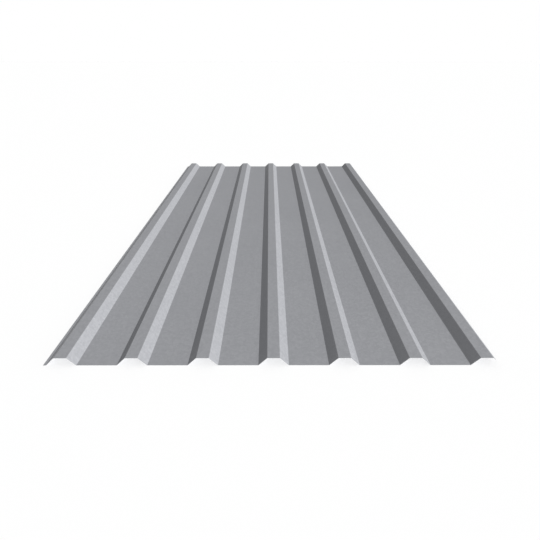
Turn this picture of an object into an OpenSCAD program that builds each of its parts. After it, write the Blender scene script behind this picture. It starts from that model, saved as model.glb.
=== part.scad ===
// Trapezoidal (box profile) roofing and cladding sheet, roll formed from one strip of steel.
// X runs across the ribs, Y along them, and Z is up. The pans and the foot lip stand on Z = 0,
// and the origin is on the floor under the middle of the sheet. All sizes are in millimetres.

/* [Sheet] */
// Length of the sheet along its ribs
sheet_length = 2400; // [600:10:3000]
// Thickness of the steel, coating included
sheet_t = 0.5; // [0.4:0.05:1.2]
// Inside radius of every bend
bend_r = 2; // [1:0.25:4]

/* [Ribs] */
// Number of ribs across the sheet
rib_count = 7; // [3:1:7]
// Width that one sheet covers on the roof, from the first rib to the last
cover_w = 1100; // [900:10:1200]
// Overall height of a rib, sheet thickness included
rib_h = 22.5; // [14:0.5:30]
// Width of a rib between its two foot folds
rib_base_w = 78.5; // [70:0.5:90]
// Width of a rib's flat top between its two upper folds
rib_top_w = 33; // [24:0.5:36]

/* [Side laps] */
// Flat lip outside the first rib, which rests on the purlin under the next sheet
foot_lip = 7.5; // [5:0.5:20]
// Slanted lip outside the last rib, which hooks over the first rib of the next sheet
hook_lip = 9.5; // [5:0.5:18]

/* [Hidden] */
coat_grey = [0.59, 0.592, 0.607];
bend_facets = 6;

pitch = cover_w / (rib_count - 1);
middle_rise = rib_h - sheet_t;
web_run = (rib_base_w - rib_top_w) / 2;
web_length = norm([web_run, middle_rise]);
hook_dir = [web_run, -middle_rise] / web_length;
first_rib_x = -cover_w / 2 - rib_base_w / 2;

// The four fold points of one rib, on the middle of the sheet's thickness
function rib_folds(foot_x) = [
    [foot_x, 0],
    [foot_x + web_run, middle_rise],
    [foot_x + web_run + rib_top_w, middle_rise],
    [foot_x + rib_base_w, 0]
];

// The middle line from the foot lip's edge to the hook lip's edge. The last rib ends in the hook lip,
// so its second foot fold is left out.
all_folds = [for (i = [0 : rib_count - 1]) each rib_folds(first_rib_x + i * pitch)];
last_top_fold = len(all_folds) - 2;
left_edge_x = first_rib_x - foot_lip;
// The hook lip's cut edge leans, so its upper corner is the sheet's furthest point to the right
right_edge_x = all_folds[last_top_fold].x + hook_lip * hook_dir.x - hook_dir.y * sheet_t / 2;
centring = -(left_edge_x + right_edge_x) / 2;
middle_line = [
    for (p = concat(
        [[left_edge_x, 0]],
        [for (i = [0 : last_top_fold]) all_folds[i]],
        [all_folds[last_top_fold] + hook_lip * hook_dir]
    )) [p.x + centring, p.y + sheet_t / 2]
];

function heading(i) = let (d = middle_line[i + 1] - middle_line[i]) atan2(d.y, d.x);
function left_normal(a) = [-sin(a), cos(a)];

// One bend, drawn on the face that lies side * sheet_t / 2 to the left of the middle line.
// Both faces turn about the same centre, so the thickness stays true round the bend.
function bend(i, side) =
    let (
        a0 = heading(i - 1),
        turn = heading(i) - a0,
        hand = sign(turn),
        middle_r = bend_r + sheet_t / 2,
        tangent = middle_r * tan(abs(turn) / 2),
        start = middle_line[i] - tangent * [cos(a0), sin(a0)],
        centre = start + hand * middle_r * left_normal(a0),
        face_r = middle_r - hand * side * sheet_t / 2
    )
    [for (k = [0 : bend_facets]) centre - hand * face_r * left_normal(a0 + turn * k / bend_facets)];

function end_point(i, a, side) = middle_line[i] + side * sheet_t / 2 * left_normal(a);

function face_line(side) = let (last = len(middle_line) - 1) concat(
    [end_point(0, heading(0), side)],
    [for (i = [1 : last - 1]) each bend(i, side)],
    [end_point(last, heading(last - 1), side)]
);

function reversed(list) = [for (i = [len(list) - 1 : -1 : 0]) list[i]];

module corrugated_sheet() {
    color(coat_grey)
        rotate([90, 0, 0])
            linear_extrude(height = sheet_length, center = true)
                polygon(concat(face_line(-1), reversed(face_line(1))));
}

corrugated_sheet();
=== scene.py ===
# Box profile roofing sheet, galvanised, lying on a pale studio floor
import math

import bpy
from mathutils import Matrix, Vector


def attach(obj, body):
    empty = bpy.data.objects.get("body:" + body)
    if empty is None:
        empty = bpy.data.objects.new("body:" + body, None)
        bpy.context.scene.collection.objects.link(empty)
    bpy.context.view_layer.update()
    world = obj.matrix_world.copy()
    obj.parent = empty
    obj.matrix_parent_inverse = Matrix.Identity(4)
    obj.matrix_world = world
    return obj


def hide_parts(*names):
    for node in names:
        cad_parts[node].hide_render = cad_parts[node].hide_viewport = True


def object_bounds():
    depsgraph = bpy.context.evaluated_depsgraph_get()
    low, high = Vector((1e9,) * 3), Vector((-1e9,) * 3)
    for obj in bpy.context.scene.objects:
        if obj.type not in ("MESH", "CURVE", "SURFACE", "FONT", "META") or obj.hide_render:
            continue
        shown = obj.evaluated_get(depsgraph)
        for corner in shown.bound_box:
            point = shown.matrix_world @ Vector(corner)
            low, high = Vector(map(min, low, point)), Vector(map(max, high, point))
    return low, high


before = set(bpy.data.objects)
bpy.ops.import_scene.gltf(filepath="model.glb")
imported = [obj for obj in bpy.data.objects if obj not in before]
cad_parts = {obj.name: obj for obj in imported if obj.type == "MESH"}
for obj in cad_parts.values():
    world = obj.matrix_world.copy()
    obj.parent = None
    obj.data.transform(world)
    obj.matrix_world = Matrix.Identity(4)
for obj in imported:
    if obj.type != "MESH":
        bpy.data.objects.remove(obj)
cadLow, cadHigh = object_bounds()
scene = bpy.context.scene
print("frame loaded:", *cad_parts, [round(side, 4) for side in cadHigh - cadLow], "m")


# camera and studio

studio = {
    "standBack": 2.2145,     # camera behind the middle of the sheet, metres
    "eyeHeight": 0.7318,
    "sideStep": 0.0006,
    "tiltDown": 24.43,       # degrees
    "turn": -0.09,           # degrees, below 0 is to the right
    "lens": 31.58,           # mm
    "sensor": 36,            # mm
    "farthest": 300,         # metres the camera sees, well past the floor's end
    "floorSide": 120.0,
    "floorGrey": 0.9,
    "airSeen": 1.0,          # backdrop brightness past the end of the floor
    "airLight": 0.435,       # the same air as a soft light from all round
    "keyStrength": 5.0,      # a broad lamp, straight from the right
    "keyElevation": 25.0,    # degrees
    "keySpread": 30.0,       # degrees
}


def standCamera(studio):
    lens = bpy.data.cameras.new("studioCamera")
    lens.sensor_width = studio["sensor"]
    lens.lens = studio["lens"]
    lens.clip_end = studio["farthest"]
    camera = bpy.data.objects.new("studioCamera", lens)
    camera.location = (studio["sideStep"], -studio["standBack"], studio["eyeHeight"])
    camera.rotation_euler = (math.radians(90 - studio["tiltDown"]), 0, math.radians(studio["turn"]))
    scene.collection.objects.link(camera)
    scene.camera = camera


def lightStudio(studio):
    key = bpy.data.lights.new("keyLight", "SUN")
    key.energy = studio["keyStrength"]
    key.angle = math.radians(studio["keySpread"])
    key.use_shadow = False   # keeps the low ribs from striping the pans
    lamp = bpy.data.objects.new("keyLight", key)
    lamp.rotation_euler = (0, math.radians(90 - studio["keyElevation"]), 0)
    scene.collection.objects.link(lamp)


# node trees: sums are written as Python, any other node comes from make()

class Wire:
    def __init__(self, tree, socket=None):
        self.tree = tree
        self.socket = socket

    def make(self, kind, settings=None, inputs=None, out=0):
        node = self.tree.nodes.new(kind)
        for name, value in (settings or {}).items():
            setattr(node, name, value)
        for key, value in (inputs or {}).items():
            for each in value if isinstance(value, list) else [value]:
                if isinstance(each, Wire):
                    self.tree.links.new(each.socket, node.inputs[key])
                else:
                    node.inputs[key].default_value = each
        return Wire(self.tree, node.outputs[out] if node.outputs else None)

    def also(self, out):
        return Wire(self.tree, self.socket.node.outputs[out])

    def sum(self, operation, *values):
        return self.make("ShaderNodeMath", {"operation": operation}, dict(enumerate(values)))

    def vector(self, operation, *values):
        return self.make("ShaderNodeVectorMath", {"operation": operation}, dict(enumerate(values)))

    def __add__(self, other):
        return self.sum("ADD", self, other)

    def __sub__(self, other):
        return self.sum("SUBTRACT", self, other)

    def __rsub__(self, other):
        return self.sum("SUBTRACT", other, self)

    def __mul__(self, other):
        return self.sum("MULTIPLY", self, other)

    def __truediv__(self, other):
        return self.sum("DIVIDE", self, other)

    def __rtruediv__(self, other):
        return self.sum("DIVIDE", other, self)

    def __gt__(self, other):
        return self.sum("GREATER_THAN", self, other)

    def __lt__(self, other):
        return self.sum("LESS_THAN", self, other)

    __radd__ = __add__
    __rmul__ = __mul__


def emptyShader(name):
    material = bpy.data.materials.new(name)
    material.use_nodes = True
    material.node_tree.nodes.clear()
    return material, Wire(material.node_tree)


def layFloor(studio):
    reach = studio["floorSide"] / 2
    mesh = bpy.data.meshes.new("studioFloor")
    corners = [(-reach, -reach, 0), (reach, -reach, 0), (reach, reach, 0), (-reach, reach, 0)]
    mesh.from_pydata(corners, [], [(0, 1, 2, 3)])
    material, wires = emptyShader("paleFloor")
    grey = studio["floorGrey"]
    paint = wires.make("ShaderNodeBsdfDiffuse", {}, {"Color": (grey, grey, grey, 1)})
    wires.make("ShaderNodeOutputMaterial", {}, {"Surface": paint})
    mesh.materials.append(material)
    floor = bpy.data.objects.new("studioFloor", mesh)
    scene.collection.objects.link(floor)


def fillAir(studio):
    world = bpy.data.worlds.new("studioAir")
    world.use_nodes = True
    world.node_tree.nodes.clear()
    wires = Wire(world.node_tree)
    seen = wires.make("ShaderNodeLightPath", {}, {}, "Is Camera Ray")
    strength = seen * (studio["airSeen"] - studio["airLight"]) + studio["airLight"]
    air = wires.make("ShaderNodeBackground", {}, {"Color": (1, 1, 1, 1), "Strength": strength})
    wires.make("ShaderNodeOutputWorld", {}, {"Surface": air})
    scene.world = world


standCamera(studio)
layFloor(studio)
lightStudio(studio)
fillAir(studio)
scene.view_settings.view_transform = "Standard"
print("camera, floor and lights are up")


# galvanised finish, lengths in metres

coat = {
    "pale": (0.352, 0.3575, 0.3755, 1),
    "dull": (0.3, 0.3055, 0.3235, 1),
    "between": 0.49,         # where the coat sits on the whole, from dull to pale
    "metallic": 0.25,
    "roughness": 0.46,
    "gloss": 0.1,            # specular level of the passivated skin
    "grazing": 0.25,         # what the metal keeps of its shine at a grazing angle
    "crystal": 0.006,        # across one zinc crystal
    "scatter": 0.9,          # from crystals in a grid, 0, to fully mixed ones, 1
    "fray": 0.28,            # how far a crystal's rim wanders, in crystals
    "frayFineness": 3,       # bends of the rim in each crystal's width
    "tilt": 0.015,           # steepest lean of a crystal's facet
    "turns": 40,             # radians, spreads the crystals' directions over the circle
    "feather": 0.0006,       # between the fine branches inside a crystal
    "featherLength": 9,      # of a branch, over its width
    "branch": 0.000005,      # height of the branches
    "seam": 0.0003,          # where two crystals meet
    "streaks": (240, 0.7, 240),  # changes in each metre, long ones along the ribs
    "foldShine": 0.0022,     # half the width of the line the rolls burnish on a fold
    "clouds": 2.4,           # changes in each metre of the passivation
    "waves": (6, 2.2, 6),    # in each metre, the slow ones that thin pans keep
    "ripple": 0.0004,        # height of those waves
    # how far each of them moves the tone and the roughness
    "toneBy": {"crystal": 0.45, "feather": 1.5, "seam": -0.15, "streak": 0.3, "cloud": 0.5, "fold": 0.35},
    "roughBy": {"crystal": 0.12, "feather": 0.1, "streak": 0.08, "fold": -0.06},
}


def noise(place, scale, detail, out="Fac"):
    return place.make("ShaderNodeTexNoise", {}, {"Vector": place, "Scale": scale, "Detail": detail}, out)


def stretched(place, scale):
    return place.make("ShaderNodeMapping", {}, {"Vector": place, "Scale": scale})


def fadeOut(value, reach, style="LINEAR"):
    fade = {"Value": value, "From Min": 0.0, "From Max": reach, "To Min": 1.0, "To Max": 0.0}
    return value.make("ShaderNodeMapRange", {"interpolation_type": style}, fade)


# each crystal has its own tone, its own tilt and branches that run its own way
def growCrystals(place, coat):
    reach = coat["fray"] * coat["crystal"]
    ragged = noise(place, coat["frayFineness"] / coat["crystal"], 2.0, "Color")
    frayed = place.vector("MULTIPLY_ADD", ragged, (reach, reach, reach), place)
    grown = {"Vector": frayed, "Scale": 1 / coat["crystal"], "Randomness": coat["scatter"]}
    crystals = place.make("ShaderNodeTexVoronoi", {}, grown, "Color")
    chance = place.make("ShaderNodeSeparateColor", {}, {"Color": crystals}, "Red")
    rim = place.make("ShaderNodeTexVoronoi", {"feature": "DISTANCE_TO_EDGE"}, grown, "Distance")
    seam = fadeOut(rim, coat["seam"] / coat["crystal"])

    fine = 1 / coat["feather"]
    long = fine / coat["featherLength"]
    way = {"Vector": place, "Angle": chance * coat["turns"]}
    turned = place.make("ShaderNodeVectorRotate", {"rotation_type": "Z_AXIS"}, way)
    feather = noise(stretched(turned, (fine, long, long)), 1.0, 1.0)

    lean = coat["tilt"]
    tilt = place.vector("MULTIPLY_ADD", crystals, (lean * 2, lean * 2, lean * 2), (-lean, -lean, -lean))
    outward = place.make("ShaderNodeNewGeometry", {}, {}, "Normal")
    facet = place.vector("NORMALIZE", place.vector("ADD", outward, tilt))
    return chance, feather, seam, facet


# 1 on every fold line, 0 a little way off it
def burnishedFolds(place, coat, sheet):
    firstRib = cadLow.x + sheet["footLip"] + sheet["baseWidth"] / 2
    across = place.make("ShaderNodeSeparateXYZ", {}, {"Vector": place}, "X") - firstRib
    fromRib = across.sum("PINGPONG", across, ribSpacing(sheet) / 2)
    gapTop = fromRib.sum("ABSOLUTE", fromRib - sheet["topWidth"] / 2)
    gapFoot = fromRib.sum("ABSOLUTE", fromRib - sheet["baseWidth"] / 2)
    return fadeOut(gapTop.sum("MINIMUM", gapTop, gapFoot), coat["foldShine"], "SMOOTHSTEP")


def zincCoat(coat, sheet):
    material, wires = emptyShader("zincCoat")
    place = wires.make("ShaderNodeTexCoord", {}, {}, "Object")
    chance, feather, seam, facet = growCrystals(place, coat)
    fold = burnishedFolds(place, coat, sheet)
    streak = noise(stretched(place, coat["streaks"]), 1.0, 3.0)
    cloud = noise(place, coat["clouds"], 2.0)
    wave = noise(stretched(place, coat["waves"]), 1.0, 0.0)

    by = coat["toneBy"]
    tone = (chance - 0.5) * by["crystal"] + (feather - 0.5) * by["feather"] + seam * by["seam"]
    tone = tone + (streak - 0.5) * by["streak"] + (cloud - 0.5) * by["cloud"] + fold * by["fold"]
    # a Mix node takes its colours at 6 and 7, and gives one at 2
    shades = {0: tone + coat["between"], 6: coat["dull"], 7: coat["pale"]}
    grey = wires.make("ShaderNodeMix", {"data_type": "RGBA"}, shades, 2)

    by = coat["roughBy"]
    rough = (chance - 0.5) * by["crystal"] + (feather - 0.5) * by["feather"]
    rough = rough + (streak - 0.5) * by["streak"] + fold * by["fold"] + coat["roughness"]

    height = feather * coat["branch"] + wave * coat["ripple"]
    relief = {"Height": height, "Strength": 1.0, "Distance": 1.0, "Normal": facet}
    bump = wires.make("ShaderNodeBump", {}, relief)
    grazing = coat["grazing"]
    finish = {
        "Base Color": grey,
        "Metallic": coat["metallic"],
        "Roughness": rough,
        "Normal": bump,
        "Specular IOR Level": coat["gloss"],
        "Specular Tint": (grazing, grazing, grazing, 1),
    }
    paint = wires.make("ShaderNodeBsdfPrincipled", {}, finish)
    wires.make("ShaderNodeOutputMaterial", {}, {"Surface": paint})
    return material


# bare steel where the sheet was cut

cutEdge = {
    "burrs": (9000, 9000, 900),  # changes in each metre, drawn out down the cut
    "darkest": 0.45,
    "spread": 0.3,           # from the darkest burr to the brightest
    "blue": 1.03,            # over red and green
    "metallic": 0.8,
    "roughness": 0.4,
}


def shearedEdge(cutEdge):
    material, wires = emptyShader("shearedEdge")
    place = wires.make("ShaderNodeTexCoord", {}, {}, "Object")
    tone = noise(stretched(place, cutEdge["burrs"]), 1.0, 2.0) * cutEdge["spread"] + cutEdge["darkest"]
    steel = {"Red": tone, "Green": tone, "Blue": tone * cutEdge["blue"]}
    grey = wires.make("ShaderNodeCombineColor", {}, steel)
    finish = {"Base Color": grey, "Metallic": cutEdge["metallic"], "Roughness": cutEdge["roughness"]}
    paint = wires.make("ShaderNodeBsdfPrincipled", {}, finish)
    wires.make("ShaderNodeOutputMaterial", {}, {"Surface": paint})
    return material


# the sheet, rolled by Geometry Nodes: fold line, then section, then body

sheet = {
    "ribs": 7,
    "coverWidth": 1.1,       # first rib to last
    "baseWidth": 0.0785,     # of a rib, foot fold to foot fold
    "topWidth": 0.033,
    "thickness": 0.0005,
    "insideRadius": 0.002,
    "footLip": 0.0075,       # flat lip outside the first rib
    "hookLip": 0.0095,       # slanted lip outside the last
    "bendSteps": 8,
    "edgeRound": 0.00008,    # shear roll-over on every cut edge
    "edgeSteps": 2,
    "edgeTurn": 60,          # degrees, less than a cut edge turns and more than a bend's step does
    "weld": 0.00001,         # points nearer than this become one
}


def ribSpacing(sheet):
    return sheet["coverWidth"] / (sheet["ribs"] - 1)


# four folds a rib, then one more: the pan's end before the first rib and the last rib's far foot
# are slit off afterwards
def foldLine(given):
    rise, top, length = given.also("Rise"), given.also("Top width"), given.also("Length")
    run = (given.also("Base width") - top) / 2
    folds = given.make("GeometryNodeMeshLine", {}, {"Count": given.also("Ribs") * 4 + 1})
    number = given.make("GeometryNodeInputIndex") - 1
    rib = given.sum("FLOOR", number / 4)
    corner = number - rib * 4
    across = rib * given.also("Spacing") + (corner > 0.5) * run + (corner > 1.5) * top + (corner > 2.5) * run
    up = (corner > 0.5) * (corner < 2.5) * rise
    point = given.make("ShaderNodeCombineXYZ", {}, {"X": across, "Y": length * -0.5, "Z": up})
    folds = given.make("GeometryNodeSetPosition", {}, {"Geometry": folds, "Position": point})
    web = given.sum("SQRT", run * run + rise * rise)
    return given.make("GeometryNodeMeshToCurve", {}, {"Mesh": folds}), web


# both long edges are slit, then each fold becomes a bend
def bentSection(line, web, given):
    total = given.make("GeometryNodeCurveLength", {}, {"Curve": line})
    leftEdge = given.also("Spacing") - given.also("Base width") - given.also("Foot lip")
    rightEdge = total - web + given.also("Hook lip")
    # a Trim node takes its lengths at 4 and 5
    slits = {"Curve": line, 4: leftEdge, 5: rightEdge}
    strip = given.make("GeometryNodeTrimCurve", {"mode": "LENGTH"}, slits)
    bend = {"Curve": strip, "Count": given.also("Bend steps"), "Radius": given.also("Bend radius")}
    strip = given.make("GeometryNodeFilletCurve", {"mode": "POLY"}, bend)
    return given.make("GeometryNodeCurveToMesh", {}, {"Curve": strip})


# the section is drawn out along the ribs, then thickened both ways from its middle
def drawnBody(section, given):
    thickness = given.also("Thickness")
    pull = given.make("ShaderNodeCombineXYZ", {}, {"Y": given.also("Length")})
    along = {"Mesh": section, "Offset": pull, "Offset Scale": 1.0}
    face = given.make("GeometryNodeExtrudeMesh", {"mode": "EDGES"}, along)
    inward = {0: given.make("GeometryNodeInputNormal"), "Scale": thickness * -0.5}
    down = given.make("ShaderNodeVectorMath", {"operation": "SCALE"}, inward)
    under = given.make("GeometryNodeSetPosition", {}, {"Geometry": face, "Offset": down})
    upward = {"Mesh": under, "Offset Scale": thickness, "Individual": False}
    body = given.make("GeometryNodeExtrudeMesh", {"mode": "FACES"}, upward)
    under = given.make("GeometryNodeFlipFaces", {}, {"Mesh": under})
    closed = given.make("GeometryNodeJoinGeometry", {}, {"Geometry": [body, under]})
    welded = {"Geometry": closed, "Distance": given.also("Weld")}
    return given.make("GeometryNodeMergeByDistance", {}, welded), body.also("Side")


# middle of its width over the origin, underside on the floor
def stoodOnFloor(body, given):
    box = given.make("GeometryNodeBoundBox", {}, {"Geometry": body}, "Min")
    low = given.make("ShaderNodeSeparateXYZ", {}, {"Vector": box})
    high = given.make("ShaderNodeSeparateXYZ", {}, {"Vector": box.also("Max")})
    shift = {"X": (low + high) * -0.5, "Z": low.also("Z") * -1}
    shift = given.make("ShaderNodeCombineXYZ", {}, shift)
    return given.make("GeometryNodeSetPosition", {}, {"Geometry": body, "Offset": shift})


def rollFormer(sizes, coatMaterial, edgeMaterial):
    tree = bpy.data.node_groups.new("rollFormer", "GeometryNodeTree")
    for name, size in sizes.items():
        kind = "NodeSocketInt" if isinstance(size, int) else "NodeSocketFloat"
        tree.interface.new_socket(name, in_out="INPUT", socket_type=kind)
    tree.interface.new_socket("Sheet", in_out="OUTPUT", socket_type="NodeSocketGeometry")
    given = Wire(tree).make("NodeGroupInput")
    line, web = foldLine(given)
    body, cutFaces = drawnBody(bentSection(line, web, given), given)
    placed = stoodOnFloor(body, given)
    smooth = given.make("GeometryNodeSetShadeSmooth", {}, {"Geometry": placed})
    real = given.make("GeometryNodeRealizeInstances", {}, {"Geometry": smooth})
    coated = given.make("GeometryNodeSetMaterial", {}, {"Geometry": real, "Material": coatMaterial})
    bare = {"Geometry": coated, "Selection": cutFaces, "Material": edgeMaterial}
    done = given.make("GeometryNodeSetMaterial", {}, bare)
    given.make("NodeGroupOutput", {}, {"Sheet": done})
    return tree


def rollSheet(sheet, coatMaterial, edgeMaterial):
    sizes = {
        "Ribs": sheet["ribs"],
        "Bend steps": sheet["bendSteps"],
        "Spacing": ribSpacing(sheet),
        "Base width": sheet["baseWidth"],
        "Top width": sheet["topWidth"],
        "Rise": cadHigh.z - cadLow.z - sheet["thickness"],
        "Thickness": sheet["thickness"],
        "Bend radius": sheet["insideRadius"] + sheet["thickness"] / 2,
        "Foot lip": sheet["footLip"],
        "Hook lip": sheet["hookLip"],
        "Length": cadHigh.y - cadLow.y,
        "Weld": sheet["weld"],
    }
    maker = bpy.data.objects.new("sheetMaker", bpy.data.meshes.new("sheetMaker"))
    scene.collection.objects.link(maker)
    roller = maker.modifiers.new("rollFormer", "NODES")
    roller.node_group = rollFormer(sizes, coatMaterial, edgeMaterial)
    for socket in roller.node_group.interface.items_tree:
        if socket.in_out == "INPUT":
            roller[socket.identifier] = sizes[socket.name]
    rounder = maker.modifiers.new("edgeRound", "BEVEL")
    rounder.limit_method = "ANGLE"
    rounder.angle_limit = math.radians(sheet["edgeTurn"])
    rounder.width = sheet["edgeRound"]
    rounder.segments = sheet["edgeSteps"]
    flattener = maker.modifiers.new("flatFaces", "WEIGHTED_NORMAL")
    flattener.weight = 100   # the largest faces stay flat to their rims
    finished = maker.evaluated_get(bpy.context.evaluated_depsgraph_get())
    mesh = bpy.data.meshes.new_from_object(finished)
    bpy.data.objects.remove(maker)
    mesh.materials.pop(index=0)   # Set Material leaves an empty first slot
    mesh.name = "roofingSheet"
    piece = bpy.data.objects.new("roofingSheet", mesh)
    scene.collection.objects.link(piece)
    return piece


roofingSheet = rollSheet(sheet, zincCoat(coat, sheet), shearedEdge(cutEdge))
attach(roofingSheet, "root")
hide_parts("corrugated_sheet")
print("sheet rolled:", len(roofingSheet.data.vertices), "points,", len(roofingSheet.data.polygons), "faces")
